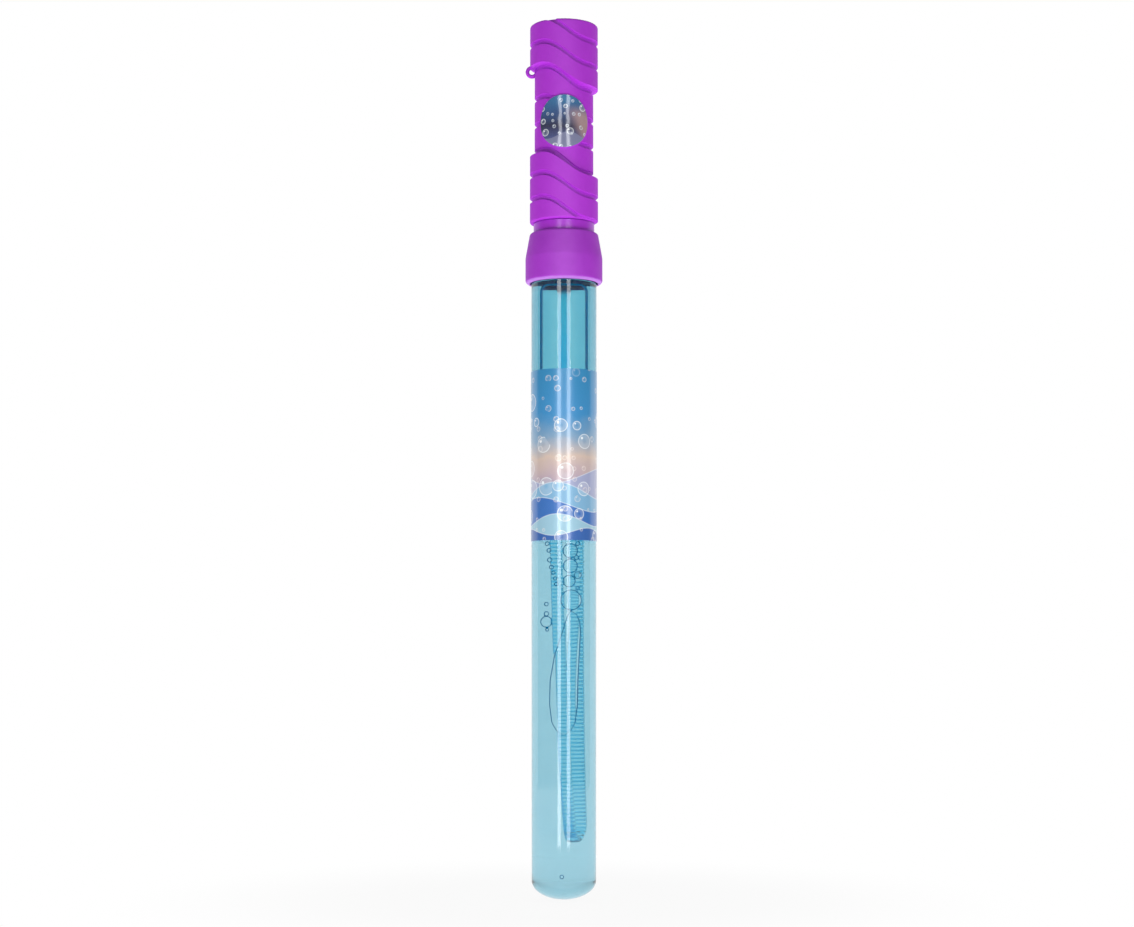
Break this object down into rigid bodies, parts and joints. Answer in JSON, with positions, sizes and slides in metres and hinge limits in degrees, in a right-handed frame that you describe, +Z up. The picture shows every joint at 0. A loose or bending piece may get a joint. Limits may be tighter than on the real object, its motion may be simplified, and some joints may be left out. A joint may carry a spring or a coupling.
{
  "type": "bubble wand",
  "caption": "Long clear tube of bubble solution with a domed foot, closed by a screw-cap handle that carries a ribbed dipping wand.",
  "frame": {"origin": "lowest point of the tube's domed foot, on the axis that all pieces share", "axes": "+Z up along the axis from the foot to the handle; -Y is the side that the grip's sticker faces; -X is the side of the cord loop"},
  "size_m": [0.0328, 0.0328, 0.37],
  "materials": {
    "tube": "clear plastic, tinted light blue",
    "label": "printed film",
    "liner": "foamed sealing liner",
    "wand": "clear plastic, tinted blue",
    "cap": "purple moulded plastic",
    "grip": "purple moulded plastic, fine matt texture",
    "sticker": "printed, coated sticker"
  },
  "bodies": {
    "tube": {"tube": "tube", "tube_label": "label"},
    "seal": {"seal_liner": "liner"},
    "wand": {"wand": "wand"},
    "handle": {"screw_cap": "cap", "handle_grip": "grip", "grip_sticker": "sticker"}
  },
  "joints": [
    {"name": "wand_draw", "type": "slide", "parent": "tube", "child": "seal", "axis": [0, 0, 1], "range_m": [0, 0.262]},
    {"name": "cap_lift", "type": "slide", "parent": "seal", "child": "wand", "axis": [0, 0, 1], "range_m": [0, 0.006]},
    {"name": "cap_turn", "type": "hinge", "parent": "wand", "child": "handle", "pos_m": [0, 0, 0.2782], "axis": [0, 0, 1], "range_deg": [0, 540]}
  ],
  "couplings": [
    {"joint": "cap_lift", "follows": "cap_turn", "m_per_rad": 0.00063662}
  ]
}
